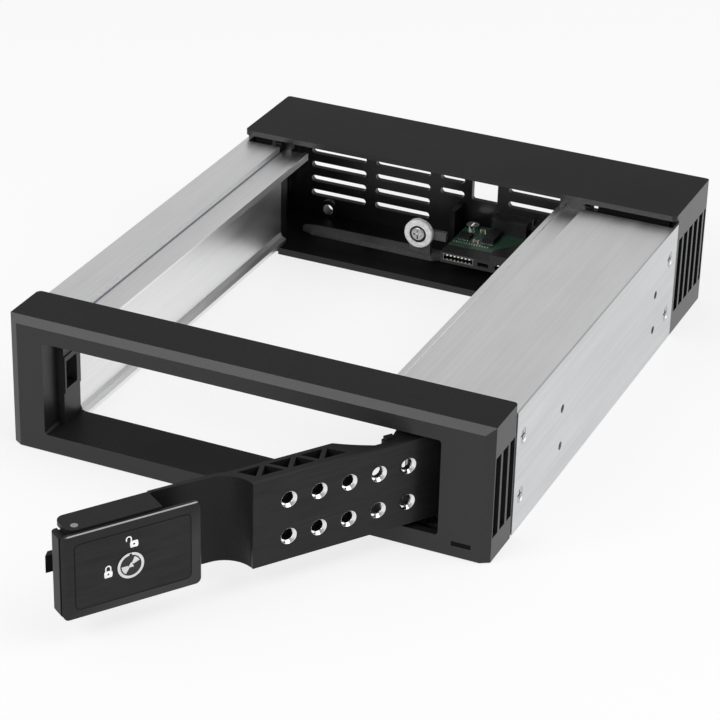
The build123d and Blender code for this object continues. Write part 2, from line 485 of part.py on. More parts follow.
# Lock
flange_r = BARREL_R + 0.5
barrel = rod_y(LOCK_X, -0.5, 0, LOCK_Z, flange_r) + rod_y(LOCK_X, -0.1, BARREL_END, LOCK_Z, BARREL_R)
barrel -= rod_y(LOCK_X, -1, LEVER_Y, LOCK_Z, PLUG_R + SHAFT_GAP)
barrel -= box(LOCK_X - 0.35, LOCK_X + 0.35, -1, -0.2, LOCK_Z + PLUG_R, LOCK_Z + flange_r + 1)
tail_r = PLUG_R / 2
plug = rod_y(LOCK_X, -0.4, BARREL_END + 0.3, LOCK_Z, PLUG_R)
plug += rod_y(LOCK_X, BARREL_END, BARREL_END + 0.6 + CAM_T, LOCK_Z, tail_r)
for a in (135, 315):
    wing = [(0.4 * cos(radians(a)), 0.4 * sin(radians(a)))]
    wing += [(2.25 * cos(radians(a + d)), 2.25 * sin(radians(a + d))) for d in (-34, 0, 34)]
    cut = Polyline(*[(LOCK_X + x, -0.5, LOCK_Z + z) for x, z in wing], close=True)
    plug -= extrude(make_face(cut), 1.0, dir=(0, 1, 0))
cam_y = BARREL_END + 0.4
cam = rod_y(LOCK_X, cam_y, cam_y + CAM_T, LOCK_Z, PLUG_R - 0.4)
cam += box(LOCK_X - 1.6, LOCK_X + 1.6, cam_y, cam_y + CAM_T, LOCK_Z - 6.2, LOCK_Z)
cam -= rod_y(LOCK_X, cam_y - 1, cam_y + 2, LOCK_Z, tail_r)
clip = rod_y(LOCK_X, SKIN_Y, SKIN_Y + 0.8, LOCK_Z, BARREL_R + 1.6)
clip -= rod_y(LOCK_X, SKIN_Y - 1, SKIN_Y + 2, LOCK_Z, BARREL_R)
save(swing(barrel), "lock_barrel")
save(swing(plug), "lock_plug")
save(swing(cam), "lock_cam")
save(swing(clip), "lock_clip")

# Ejector slide: a steel strip with a fork at the front and a pin at the rear
slot_y = HINGE_Y + SLIDE_PER_DEGREE * CRANK_REST
half_slot = CRANK_PIN_R + CRANK_PLAY
slide_x1 = HINGE_X + 11.65
slide = box(HINGE_X + 5.15, slide_x1, slot_y - half_slot - 1.5, REAR_PIVOT_Y + 3.0, SLIDE_Z0, SLIDE_Z1)
slide += box(HINGE_X + 2.95, slide_x1, slot_y - half_slot - 1.5, slot_y + half_slot + 1.5, SLIDE_Z0, SLIDE_Z1)
slide -= box(HINGE_X + 1.65, HINGE_X + 6.75, slot_y - half_slot, slot_y + half_slot, SLIDE_Z0 - 1, SLIDE_Z1 + 1)
slide += rod_z(SLIDE_PIN_X, REAR_PIVOT_Y, SLIDE_Z0, EJECT_Z1 + 1.0, REAR_PIN_R)
save(slide, "ejector_slide")

# Ejector lever, pad and screw
left_x = PASS_L + 3.3
tab_x = PAD_X + 4.9
arms = [(left_x, -0.4), (left_x + 4, -2.2), (tab_x, -2.6), (tab_x + 3, 0.2), (REAR_PIVOT_X - 5, 0.2), (REAR_PIVOT_X, -3.8),
        (REAR_PIVOT_X + 5, -3.8), (SLIDE_PIN_X + 4, -2.2), (SLIDE_PIN_X + 4, 2.2), (REAR_PIVOT_X + 5, 4.2),
        (REAR_PIVOT_X - 5, 4.2), (tab_x, 3.4), (left_x + 4, 2.4), (left_x, 1.4)]
eject = plan([(x, REAR_PIVOT_Y + y) for x, y in arms], EJECT_Z0, EJECT_Z1)
tab_y = PAD_Y + PAD_T
TAB_T = 1.5
TAB_R = PAD_R - 1.2
eject += box(PAD_X - TAB_R, PAD_X + TAB_R, tab_y, tab_y + TAB_T, EJECT_Z0, PAD_Z)
eject += rod_y(PAD_X, tab_y, tab_y + TAB_T, PAD_Z, TAB_R)
eject += box(PAD_X, PAD_X + PAD_R + 4.2, tab_y, tab_y + TAB_T, PAD_Z - 1.6, PAD_Z + 1.4)
eject -= rod_z(REAR_PIVOT_X, REAR_PIVOT_Y, 0, 10, 1.5 + SHAFT_GAP)
eject -= box(SLIDE_PIN_X - 1.6, SLIDE_PIN_X + 2.2, REAR_PIVOT_Y - 1.5, REAR_PIVOT_Y + 1.5, 0, 10)
eject -= rod_y(PAD_X, PAD_Y, PAD_Y + 5, PAD_Z, 1.2)
save(eject, "ejector_lever")
pivot = rod_z(REAR_PIVOT_X, REAR_PIVOT_Y, 0.2, EJECT_Z1 + 0.1, 1.5)
pivot += rod_z(REAR_PIVOT_X, REAR_PIVOT_Y, EJECT_Z1 + 0.1, EJECT_Z1 + 0.9, 2.6)
save(pivot, "lever_pivot_pin")
pad = rod_y(PAD_X, PAD_Y, PAD_Y + PAD_T, PAD_Z, PAD_R)
pad = fillet(pad.edges().group_by(Axis.Y)[0], 0.5)
pad -= rod_y(PAD_X, PAD_Y - 1, PAD_Y + 1.1, PAD_Z, PAD_SCREW_R + 0.5)
pad -= rod_y(PAD_X, PAD_Y, PAD_Y + 5, PAD_Z, 1.2)
save(pad, "ejector_pad")
pad_screw = rod_y(PAD_X, PAD_Y - 0.3, PAD_Y + 1.1, PAD_Z, PAD_SCREW_R)
pad_screw = fillet(pad_screw.edges().group_by(Axis.Y)[0], 0.6)
pad_screw += rod_y(PAD_X, PAD_Y + 1.0, PAD_Y + 5.0, PAD_Z, 1.2)
pad_screw -= box(PAD_X - 1.5, PAD_X + 1.5, PAD_Y - 1, PAD_Y + 0.5, PAD_Z - 0.3, PAD_Z + 0.3)
pad_screw -= box(PAD_X - 0.3, PAD_X + 0.3, PAD_Y - 1, PAD_Y + 0.5, PAD_Z - 1.5, PAD_Z + 1.5)
save(pad_screw, "pad_screw")
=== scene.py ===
import math

import bmesh
import bpy
from mathutils import Matrix, Vector


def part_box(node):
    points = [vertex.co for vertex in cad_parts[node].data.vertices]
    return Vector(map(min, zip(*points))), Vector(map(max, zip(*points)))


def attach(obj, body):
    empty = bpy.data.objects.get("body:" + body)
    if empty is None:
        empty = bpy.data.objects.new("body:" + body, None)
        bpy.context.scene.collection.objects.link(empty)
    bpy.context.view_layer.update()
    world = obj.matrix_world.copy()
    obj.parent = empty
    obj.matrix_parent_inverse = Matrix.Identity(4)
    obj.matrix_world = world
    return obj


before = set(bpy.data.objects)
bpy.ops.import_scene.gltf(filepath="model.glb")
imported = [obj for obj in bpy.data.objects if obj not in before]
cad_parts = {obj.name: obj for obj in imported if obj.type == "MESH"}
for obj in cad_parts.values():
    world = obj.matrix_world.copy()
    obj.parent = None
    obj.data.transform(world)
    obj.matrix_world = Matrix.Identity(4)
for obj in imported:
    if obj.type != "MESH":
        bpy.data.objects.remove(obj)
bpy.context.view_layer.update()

# Camera: a long lens at the front right of the rack, above it, and rolled a little on its axis.
# Its angles, aim and reach were solved from the known width of the body and its side holes.
MM = 0.001
CAMERA_AZ = math.radians(23.78)
CAMERA_EL = math.radians(27.88)
CAMERA_ROLL = math.radians(1.531)
CAMERA_AIM = Vector((-3.162, 85.0, 3.308)) * MM
CAMERA_REACH = 807.72 * MM
LENS_LENGTH = 134.37
FILM_WIDTH = 36.0
scene = bpy.context.scene
scene.view_settings.view_transform = "Standard"
backward = Vector((math.sin(CAMERA_AZ) * math.cos(CAMERA_EL),
                   -math.cos(CAMERA_AZ) * math.cos(CAMERA_EL),
                   math.sin(CAMERA_EL)))
level = Vector((math.cos(CAMERA_AZ), math.sin(CAMERA_AZ), 0))
upward = backward.cross(level)
view_x = math.cos(CAMERA_ROLL) * level + math.sin(CAMERA_ROLL) * upward
view_y = math.cos(CAMERA_ROLL) * upward - math.sin(CAMERA_ROLL) * level
lens = bpy.data.cameras.new("camera")
lens.lens = LENS_LENGTH
lens.sensor_width = FILM_WIDTH
lens.clip_start = 0.01
lens.clip_end = 20
camera = bpy.data.objects.new("camera", lens)
scene.collection.objects.link(camera)
turned = Matrix((view_x, view_y, backward)).transposed().to_4x4()
camera.matrix_world = Matrix.Translation(CAMERA_AIM + backward * CAMERA_REACH) @ turned
scene.camera = camera

# Surround: a white paper sweep that turns grey towards the ceiling of the studio.
# Bare metal shows both tones, and the black mouldings show the white at their steep sides.
SKY_TONES = ((0.08, 1.0), (0.36, 0.60), (0.95, 0.34))
world = bpy.data.worlds.new("studio")
scene.world = world
world.use_nodes = True
sky = world.node_tree
sky.nodes.clear()
sky_place = sky.nodes.new("ShaderNodeTexCoord")
sky_split = sky.nodes.new("ShaderNodeSeparateXYZ")
sky_ramp = sky.nodes.new("ShaderNodeValToRGB")
sky_light = sky.nodes.new("ShaderNodeBackground")
sky_out = sky.nodes.new("ShaderNodeOutputWorld")
sky_ramp.color_ramp.interpolation = "EASE"
for height, grey in SKY_TONES:
    sky_ramp.color_ramp.elements.new(height).color = (grey, grey, grey, 1)
for end in (0, -1):
    grey = SKY_TONES[end][1]
    sky_ramp.color_ramp.elements[end].color = (grey, grey, grey, 1)
sky.links.new(sky_place.outputs["Generated"], sky_split.inputs[0])
sky.links.new(sky_split.outputs["Z"], sky_ramp.inputs["Fac"])
sky.links.new(sky_ramp.outputs["Color"], sky_light.inputs["Color"])
sky.links.new(sky_light.outputs[0], sky_out.inputs["Surface"])

# Lamps: two soft boxes, one in front of the left corner and one high over the right side.
# Both are plain rectangles turned to face the rack, in metres and watts.
for name, place, aim, width, height, watts in (
    ("box_front", (-0.46, -0.86, 0.80), (0, 0.02, 0.02), 0.90, 0.55, 8.0),
    ("box_right", (0.75, 0.12, 0.88), (0, 0.08, 0.02), 0.90, 0.90, 6.0),
):
    lamp_data = bpy.data.lights.new(name, "AREA")
    lamp_data.shape = "RECTANGLE"
    lamp_data.size = width
    lamp_data.size_y = height
    lamp_data.energy = watts
    lamp = bpy.data.objects.new(name, lamp_data)
    lamp.location = place
    lamp.rotation_euler = (Vector(aim) - Vector(place)).to_track_quat("-Z", "Y").to_euler()
    scene.collection.objects.link(lamp)


# Front bezel: one injection moulding in black ABS with a fine spark texture, held between the rails.
# It frames the drive's opening and carries the side louvres, the catch window and the status window.
# Its upright faces carry a clear coat that its top lacks, and shine a little more than its top.
def shader_group(name, inputs, outputs):
    tree = bpy.data.node_groups.new(name, "ShaderNodeTree")
    for label, kind, value in inputs:
        socket = tree.interface.new_socket(name=label, in_out="INPUT", socket_type=kind)
        if value is not None:
            socket.default_value = value
    for label in outputs:
        tree.interface.new_socket(name=label, in_out="OUTPUT", socket_type="NodeSocketFloat")
    return tree, tree.nodes.new("NodeGroupInput"), tree.nodes.new("NodeGroupOutput")


def calc(tree, operation, *values):
    node = tree.nodes.new("ShaderNodeMath")
    node.operation = operation
    for i, value in enumerate(values):
        if isinstance(value, (int, float)):
            node.inputs[i].default_value = value
        else:
            tree.links.new(value, node.inputs[i])
    return node.outputs[0]


def noise(tree, vector, scale, detail=2.0, rough=0.5):
    node = tree.nodes.new("ShaderNodeTexNoise")
    node.inputs["Detail"].default_value = detail
    node.inputs["Roughness"].default_value = rough
    tree.links.new(vector, node.inputs["Vector"])
    if isinstance(scale, (int, float)):
        node.inputs["Scale"].default_value = scale
    else:
        tree.links.new(scale, node.inputs["Scale"])
    return node.outputs["Fac"]


# the spark texture of a moulding: its height, slow flow marks and coarser specks of colour
SPARK_SCALE = 4200.0
FLOW_SCALE = 38.0
SPECK_SHARE = 0.4
moulded_grain, group_in, group_out = shader_group(
    "moulded_grain",
    [("Vector", "NodeSocketVector", None), ("Scale", "NodeSocketFloat", SPARK_SCALE)],
    ("Height", "Flow", "Speck"),
)
grain_place, grain_scale = group_in.outputs["Vector"], group_in.outputs["Scale"]
speck_scale = calc(moulded_grain, "MULTIPLY", grain_scale, SPECK_SHARE)
for label, scale, detail, rough in (
    ("Height", grain_scale, 2.0, 0.55),
    ("Flow", FLOW_SCALE, 3.0, 0.5),
    ("Speck", speck_scale, 1.0, 0.5),
):
    pattern = noise(moulded_grain, grain_place, scale, detail, rough)
    moulded_grain.links.new(pattern, group_out.inputs[label])


def blank(name, colour, rough, metal=0.0, specular=0.5):
    made = bpy.data.materials.new(name)
    made.use_nodes = True
    shader = made.node_tree.nodes["Principled BSDF"]
    shader.inputs["Base Color"].default_value = (*colour, 1)
    shader.inputs["Roughness"].default_value = rough
    shader.inputs["Metallic"].default_value = metal
    shader.inputs["Specular IOR Level"].default_value = specular
    return made, made.node_tree, shader


def place_on(tree):
    return tree.nodes.new("ShaderNodeTexCoord").outputs["Object"]


def split_place(tree, place):
    node = tree.nodes.new("ShaderNodeSeparateXYZ")
    tree.links.new(place, node.inputs[0])
    return node.outputs


def use_group(tree, group, vector, **values):
    node = tree.nodes.new("ShaderNodeGroup")
    node.node_tree = group
    tree.links.new(vector, node.inputs["Vector"])
    for label, value in values.items():
        node.inputs[label].default_value = value
    return node.outputs


def spread(tree, value, low, high, start=0.3, end=0.7):
    node = tree.nodes.new("ShaderNodeMapRange")
    node.inputs["From Min"].default_value = start
    node.inputs["From Max"].default_value = end
    node.inputs["To Min"].default_value = low
    node.inputs["To Max"].default_value = high
    tree.links.new(value, node.inputs["Value"])
    return node.outputs["Result"]


def blend_colours(tree, factor, first, second):
    node = tree.nodes.new("ShaderNodeMix")
    node.data_type = "RGBA"
    for socket, colour in ((node.inputs[6], first), (node.inputs[7], second)):
        if isinstance(colour, tuple):
            socket.default_value = (*colour, 1)
        else:
            tree.links.new(colour, socket)
    tree.links.new(factor, node.inputs["Factor"])
    return node.outputs[2]


def raise_surface(tree, shader, height, distance, strength=1.0):
    node = tree.nodes.new("ShaderNodeBump")
    node.inputs["Distance"].default_value = distance * MM
    node.inputs["Strength"].default_value = strength
    tree.links.new(height, node.inputs["Height"])
    tree.links.new(node.outputs["Normal"], shader.inputs["Normal"])


SPECK_LIFT = 1.35
STEEP, FLAT = 0.9, 0.98


def moulded(name, colour, rough, scale=SPARK_SCALE, depth=0.02, specular=0.2, side_gloss=0.0):
    made, tree, shader = blank(name, colour, rough, specular=specular)
    grain = use_group(tree, moulded_grain, place_on(tree), Scale=scale)
    lighter = tuple(SPECK_LIFT * c for c in colour)
    specked = blend_colours(tree, spread(tree, grain["Speck"], 0, 1), colour, lighter)
    tree.links.new(specked, shader.inputs["Base Color"])
    worn = spread(tree, grain["Flow"], rough - 0.03, rough + 0.04)
    tree.links.new(worn, shader.inputs["Roughness"])
    raise_surface(tree, shader, grain["Height"], depth)
    if side_gloss:
        facing = split_place(tree, tree.nodes.new("ShaderNodeTexCoord").outputs["Normal"])
        gloss = spread(tree, facing["Z"], side_gloss, 0.0, STEEP, FLAT)
        tree.links.new(gloss, shader.inputs["Coat Weight"])
        shader.inputs["Coat Roughness"].default_value = rough
    return made


def dress(node, material, soften=0.0, steps=2):
    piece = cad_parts[node]
    for slot in piece.material_slots:
        slot.material = material
    if soften:
        edge = piece.modifiers.new("soft_edges", "BEVEL")
        edge.width = soften * MM
        edge.segments = steps
        edge.limit_method = "ANGLE"
        edge.angle_limit = math.radians(40)
        edge.harden_normals = True
        edge.use_clamp_overlap = True


BEZEL_BLACK = (0.0125, 0.0125, 0.0128)
bezel_finish = moulded("bezel_black", BEZEL_BLACK, 0.38, specular=0.05, side_gloss=0.65)
dress("front_bezel", bezel_finish, soften=0.25)

# Status light: a dark tinted window pressed into the bezel, a clear rod behind it and a small lamp
# at the rod's rear end. All three are smooth mouldings with a faint ripple, and they push together.
WINDOW_TINT = (0.002, 0.002, 0.0025)
CLEAR_TINT = (0.86, 0.90, 0.93)
window_finish, tree, shader = blank("window_tint", WINDOW_TINT, 0.08, specular=0.08)
grain = use_group(tree, moulded_grain, place_on(tree), Scale=900.0)
tree.links.new(spread(tree, grain["Flow"], 0.06, 0.12), shader.inputs["Roughness"])
raise_surface(tree, shader, grain["Height"], 0.002)
dress("status_window", window_finish, soften=0.06)
clear_finish, tree, shader = blank("clear_plastic", CLEAR_TINT, 0.06)
shader.inputs["Transmission Weight"].default_value = 0.85
grain = use_group(tree, moulded_grain, place_on(tree), Scale=700.0)
tree.links.new(spread(tree, grain["Flow"], 0.04, 0.12), shader.inputs["Roughness"])
raise_surface(tree, shader, grain["Height"], 0.002)
dress("light_pipe", clear_finish)
dress("status_led", clear_finish)

# Rails: two channels folded from aluminium sheet, brushed along their length and left bare.
# They join the bezel to the rear housing; a flat cover closes the outer side of the right one,
# and that cover is coloured darker than the rail as painted shade on its side.
# The left one shows its top flange; a band of painted shade lies along its fold, and a line of painted
# highlight along its cut edge.
brush_marks, group_in, group_out = shader_group(
    "brush_marks",
    [("Vector", "NodeSocketVector", None),
     ("Across", "NodeSocketFloat", 1700.0),
     ("Along", "NodeSocketFloat", 14.0)],
    ("Fine", "Streak", "Cloud"),
)
place = split_place(brush_marks, group_in.outputs["Vector"])
for label, across_by, along_by, detail in (
    ("Fine", 6.0, 4.0, 2.0), ("Streak", 1.0, 1.0, 3.0), ("Cloud", 0.07, 1.6, 3.0),
):
    across = calc(brush_marks, "MULTIPLY", group_in.outputs["Across"], across_by)
    along = calc(brush_marks, "MULTIPLY", group_in.outputs["Along"], along_by)
    stretched = brush_marks.nodes.new("ShaderNodeCombineXYZ")
    for i, rate in enumerate((across, along, across)):
        brush_marks.links.new(calc(brush_marks, "MULTIPLY", place[i], rate), stretched.inputs[i])
    pattern = noise(brush_marks, stretched.outputs[0], 1.0, detail, 0.6)
    brush_marks.links.new(pattern, group_out.inputs[label])


def streak_colours(tree, marks, dark, light):
    both = calc(tree, "MULTIPLY", calc(tree, "ADD", marks["Streak"], marks["Cloud"]), 0.5)
    return blend_colours(tree, spread(tree, both, 0, 1), dark, light)


FINE_SHARE = 0.35


def brushed(name, dark, light, rough, across, along, depth, metal=1.0, specular=0.5, vector_of=place_on):
    made, tree, shader = blank(name, light, rough, metal, specular)
    marks = use_group(tree, brush_marks, vector_of(tree), Across=across, Along=along)
    tree.links.new(streak_colours(tree, marks, dark, light), shader.inputs["Base Color"])
    tree.links.new(spread(tree, marks["Cloud"], rough - 0.04, rough + 0.05), shader.inputs["Roughness"])
    height = calc(tree, "ADD", calc(tree, "MULTIPLY", marks["Fine"], FINE_SHARE), marks["Streak"])
    raise_surface(tree, shader, height, depth)
    return made


# a soft band, 1 in its middle and fading to 0 over the outer half of its width
def near(tree, value, middle, half):
    offset = calc(tree, "ABSOLUTE", calc(tree, "SUBTRACT", value, middle * MM))
    return spread(tree, offset, 1.0, 0.0, 0.5 * half * MM, half * MM)


BARE_DARK, BARE_LIGHT = (0.79, 0.79, 0.793), (0.91, 0.912, 0.916)
# the cover's tones are the rail's, darkened as painted shade on the right rail's outer side
COVER_SHADE_DARK, COVER_SHADE_LIGHT = (0.56, 0.565, 0.575), (0.72, 0.725, 0.735)
# painted light on the left rail: a shade tone for its fold and a highlight tone for its cut edge
FOLD_PAINTED_SHADE = (0.40, 0.41, 0.44)
EDGE_PAINTED_HIGHLIGHT = (0.97, 0.97, 0.97)
FOLD_X = -60.18
FOLD_DOWN = 2.0
rail_finish = brushed("rail_aluminium", BARE_DARK, BARE_LIGHT, 0.36, 1700.0, 14.0, 0.006)
dress("rail_right", rail_finish, soften=0.12)
# the right rail's cover: the same brushed aluminium, with painted shade in its colour
cover_shaded_finish = brushed("cover_aluminium_painted_shade", COVER_SHADE_DARK, COVER_SHADE_LIGHT, 0.40, 1500.0, 12.0, 0.008)
dress("rail_right_cover", cover_shaded_finish, soften=0.12)
fold_painted_light_finish = brushed("aluminium_painted_fold_light", BARE_DARK, BARE_LIGHT, 0.36, 1700.0, 14.0, 0.006)
tree = fold_painted_light_finish.node_tree
shader = tree.nodes["Principled BSDF"]
streaked = shader.inputs["Base Color"].links[0].from_socket
spot = split_place(tree, place_on(tree))
rail_high = Vector(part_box("rail_left")[1]) / MM
flange_top = rail_high.z - FOLD_DOWN
# painted shade along the fold, then a painted highlight along the flange's cut edge
fold_shade_band = calc(tree, "MULTIPLY", near(tree, spot["X"], FOLD_X, 0.36),
                 near(tree, spot["Z"], flange_top, 0.55))
fold_shaded = blend_colours(tree, fold_shade_band, streaked, FOLD_PAINTED_SHADE)
edge_highlight_band = calc(tree, "MULTIPLY", near(tree, spot["X"], rail_high.x, 0.45),
                 near(tree, spot["Z"], flange_top + 0.4, 0.7))
edge_highlighted = blend_colours(tree, edge_highlight_band, fold_shaded, EDGE_PAINTED_HIGHLIGHT)
tree.links.new(edge_highlighted, shader.inputs["Base Color"])
dress("rail_left", fold_painted_light_finish, soften=0.15)

# Side screws: eight countersunk machine screws, four on each side, turned from steel and plated bright.
# They are driven flush into the rails and hold them to the bezel and the rear housing.
POLISH_SCALE = 2500.0
HAZE_SHARE = 0.25
HAZE_DULL = 0.86
polish_marks, group_in, group_out = shader_group(
    "polish_marks",
    [("Vector", "NodeSocketVector", None), ("Scale", "NodeSocketFloat", POLISH_SCALE)],
    ("Haze", "Scuff"),
)
polish_place, polish_scale = group_in.outputs["Vector"], group_in.outputs["Scale"]
haze_scale = calc(polish_marks, "MULTIPLY", polish_scale, HAZE_SHARE)
for label, scale, detail, rough in (("Haze", haze_scale, 3.0, 0.5), ("Scuff", polish_scale, 4.0, 0.65)):
    pattern = noise(polish_marks, polish_place, scale, detail, rough)
    polish_marks.links.new(pattern, group_out.inputs[label])


def polished(name, colour, rough, metal=1.0, scale=POLISH_SCALE, depth=0.004):
    made, tree, shader = blank(name, colour, rough, metal)
    marks = use_group(tree, polish_marks, place_on(tree), Scale=scale)
    duller = tuple(HAZE_DULL * c for c in colour)
    hazed = blend_colours(tree, spread(tree, marks["Haze"], 0, 1), duller, colour)
    tree.links.new(hazed, shader.inputs["Base Color"])
    tree.links.new(spread(tree, marks["Haze"], rough * 0.8, rough * 1.3), shader.inputs["Roughness"])
    raise_surface(tree, shader, marks["Scuff"], depth)
    return made


steel_finish = polished("plain_steel", (0.56, 0.57, 0.58), 0.3)
screw_finish = polished("plated_screw", (0.52, 0.52, 0.53), 0.22)
dress("rail_screws", screw_finish, soften=0.05)

# Rear housing: one injection moulding in the same black ABS, held between the rear ends of the rails.
# It has a slotted rear wall, a floor and a top plate, and is smooth enough inside to mirror the slots.
HOUSING_BLACK = (0.0075, 0.0075, 0.0077)
housing_finish = moulded("housing_black", HOUSING_BLACK, 0.32, depth=0.012, specular=0.05, side_gloss=0.65)
dress("rear_housing", housing_finish, soften=0.25)

# Backplane: a small circuit board of woven glass and resin, coated with a green solder mask.
# It stands on two posts of the rear housing, and two bright plated screws hold it down.
MASK_GREEN = (0.008, 0.030, 0.017)
MASK_DARK, MASK_LIGHT = (0.006, 0.022, 0.013), (0.012, 0.045, 0.026)
WEAVE_GREEN = (0.018, 0.062, 0.035)
board_finish, tree, shader = blank("solder_mask", MASK_GREEN, 0.3)
grain = use_group(tree, moulded_grain, place_on(tree), Scale=1500.0)
weave = tree.nodes.new("ShaderNodeTexBrick")
weave.inputs["Scale"].default_value = 420.0
weave.inputs["Mortar Size"].default_value = 0.16
weave.inputs["Mortar Smooth"].default_value = 0.3
tree.links.new(place_on(tree), weave.inputs["Vector"])
coated = blend_colours(tree, spread(tree, grain["Flow"], 0, 1), MASK_DARK, MASK_LIGHT)
woven = blend_colours(tree, weave.outputs["Fac"], coated, WEAVE_GREEN)
tree.links.new(woven, shader.inputs["Base Color"])
tree.links.new(spread(tree, grain["Speck"], 0.24, 0.36), shader.inputs["Roughness"])
raise_surface(tree, shader, weave.outputs["Fac"], 0.02, strength=0.5)
dress("backplane_board", board_finish, soften=0.08)
board_screw_finish = polished("bright_chrome", (0.80, 0.80, 0.81), 0.13, scale=1800.0, depth=0.002)
dress("board_screws", board_screw_finish, soften=0.08)


# Board parts: two moulded chips with tinned legs, two ceramic capacitors and a row of solder pads.
# They are small bought parts, soldered on the board's top face beside the drive connector.
def brick(made, low, high, finish=0):
    corners = [made.verts.new(Vector((x, y, z)) * MM)
               for x in (low[0], high[0]) for y in (low[1], high[1]) for z in (low[2], high[2])]
    for ids in ((0, 1, 3, 2), (4, 6, 7, 5), (0, 4, 5, 1), (2, 3, 7, 6), (0, 2, 6, 4), (1, 5, 7, 3)):
        made.faces.new([corners[i] for i in ids]).material_index = finish


def finish_piece(name, made, materials, body, smooth=False):
    bmesh.ops.recalc_face_normals(made, faces=made.faces)
    data = bpy.data.meshes.new(name)
    made.to_mesh(data)
    made.free()
    if smooth:
        data.shade_smooth()
    for material in materials:
        data.materials.append(material)
    piece = bpy.data.objects.new(name, data)
    scene.collection.objects.link(piece)
    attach(piece, body)


CHIP, SOLDER, CERAMIC = 0, 1, 2
BOARD_PARTS = (  # middle from the board's corner in x and y, width, depth, height, finish
    (3.0, 7.4, 3.9, 3.9, 0.9, CHIP),
    (11.2, 9.6, 3.9, 7.4, 1.5, CHIP),
    (6.6, 13.8, 1.6, 0.8, 0.6, CERAMIC),
    (7.4, 5.4, 1.6, 0.8, 0.5, CERAMIC),
)
LEG_PITCH = 0.65
LEG_FIRST = 0.4
LEG_HALF = (0.12, 0.35)
LEG_TALL = 0.16
CAP_END_HALF = 0.22
PAD_COUNT = 14
PAD_FIRST = (0.8, 3.0)
PAD_PITCH = 0.889
PAD_HALF = (0.18, 0.4)
PAD_TALL = 0.12
board_low, board_high = (Vector(corner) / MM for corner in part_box("backplane_board"))
parts = bmesh.new()


def on_board(x, y, half_x, half_y, tall, finish):
    brick(parts, (x - half_x, y - half_y, board_high.z),
          (x + half_x, y + half_y, board_high.z + tall), finish)


for x, y, wide, deep, tall, finish in BOARD_PARTS:
    x, y = board_low.x + x, board_low.y + y
    on_board(x, y, wide / 2, deep / 2, tall, finish)
    if finish == CERAMIC:
        for side in (-1, 1):
            on_board(x + side * wide / 2, y, CAP_END_HALF, deep / 2 + 0.05, tall + 0.03, SOLDER)
    else:
        for i in range(int(wide / LEG_PITCH)):
            leg_x = x - wide / 2 + LEG_FIRST + LEG_PITCH * i
            for side in (-1, 1):
                on_board(leg_x, y + side * (deep / 2 + LEG_HALF[1]), *LEG_HALF, LEG_TALL, SOLDER)
for i in range(PAD_COUNT):
    pad_x = board_low.x + PAD_FIRST[0] + PAD_PITCH * i
    on_board(pad_x, board_low.y + PAD_FIRST[1], *PAD_HALF, PAD_TALL, SOLDER)
chip_finish = moulded("chip_black", (0.012, 0.012, 0.013), 0.45, scale=5000.0, depth=0.01)
solder_finish = polished("tin_solder", (0.72, 0.72, 0.70), 0.28)
ceramic_finish = moulded("capacitor_tan", (0.20, 0.13, 0.075), 0.45, scale=3000.0, depth=0.006, specular=0.4)
finish_piece("board_parts", parts, (chip_finish, solder_finish, ceramic_finish), "chassis")

# Connectors: black glass-filled mouldings with gold-plated contacts, soldered to the board.
# The drive connector faces the bay; a lower row of contacts and a light rim are added at its slot.
# The host's data and power connectors face the rear.
CONNECTOR_BLACK = (0.011, 0.011, 0.0115)
RIM_GREY = (0.12, 0.12, 0.122)
SLOT_X = (1.3, 11.2)
SLOT_Z = (8.6, 10.4)
CONTACT_COUNT = 7
CONTACT_FIRST = 2.45
CONTACT_PITCH = 1.27
CONTACT_HALF = 0.26
CONTACT_TALL = 0.18
CONTACT_ENDS = (0.3, 4.4)
RIM_WIDE = 0.22
RIM_ENDS = (-0.06, 0.1)
connector_finish = moulded("connector_black", CONNECTOR_BLACK, 0.35, scale=6000.0, depth=0.008, specular=0.3)
contact_finish = polished("plated_contact", (0.86, 0.82, 0.72), 0.2)
rim_finish = moulded("connector_rim", RIM_GREY, 0.32, scale=6000.0, depth=0.006, specular=0.5)
for node in ("drive_connector", "host_data_connector", "host_power_connector"):
    dress(node, connector_finish, soften=0.1)
dress("connector_contacts", contact_finish)
plug_low = Vector(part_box("drive_connector")[0]) / MM
slot_left, slot_right = (plug_low.x + x for x in SLOT_X)
slot_low, slot_high = SLOT_Z
trim = bmesh.new()
for i in range(CONTACT_COUNT):
    x = plug_low.x + CONTACT_FIRST + CONTACT_PITCH * i
    brick(trim, (x - CONTACT_HALF, plug_low.y + CONTACT_ENDS[0], slot_low),
          (x + CONTACT_HALF, plug_low.y + CONTACT_ENDS[1], slot_low + CONTACT_TALL))
for x0, x1, z0, z1 in (
    (slot_left - RIM_WIDE, slot_right + RIM_WIDE, slot_high, slot_high + RIM_WIDE),
    (slot_left - RIM_WIDE, slot_right + RIM_WIDE, slot_low - RIM_WIDE, slot_low),
    (slot_left - RIM_WIDE, slot_left, slot_low, slot_high),
    (slot_right, slot_right + RIM_WIDE, slot_low, slot_high),
):
    brick(trim, (x0, plug_low.y + RIM_ENDS[0], z0), (x1, plug_low.y + RIM_ENDS[1], z1), 1)
finish_piece("connector_trim", trim, (contact_finish, rim_finish), "chassis")

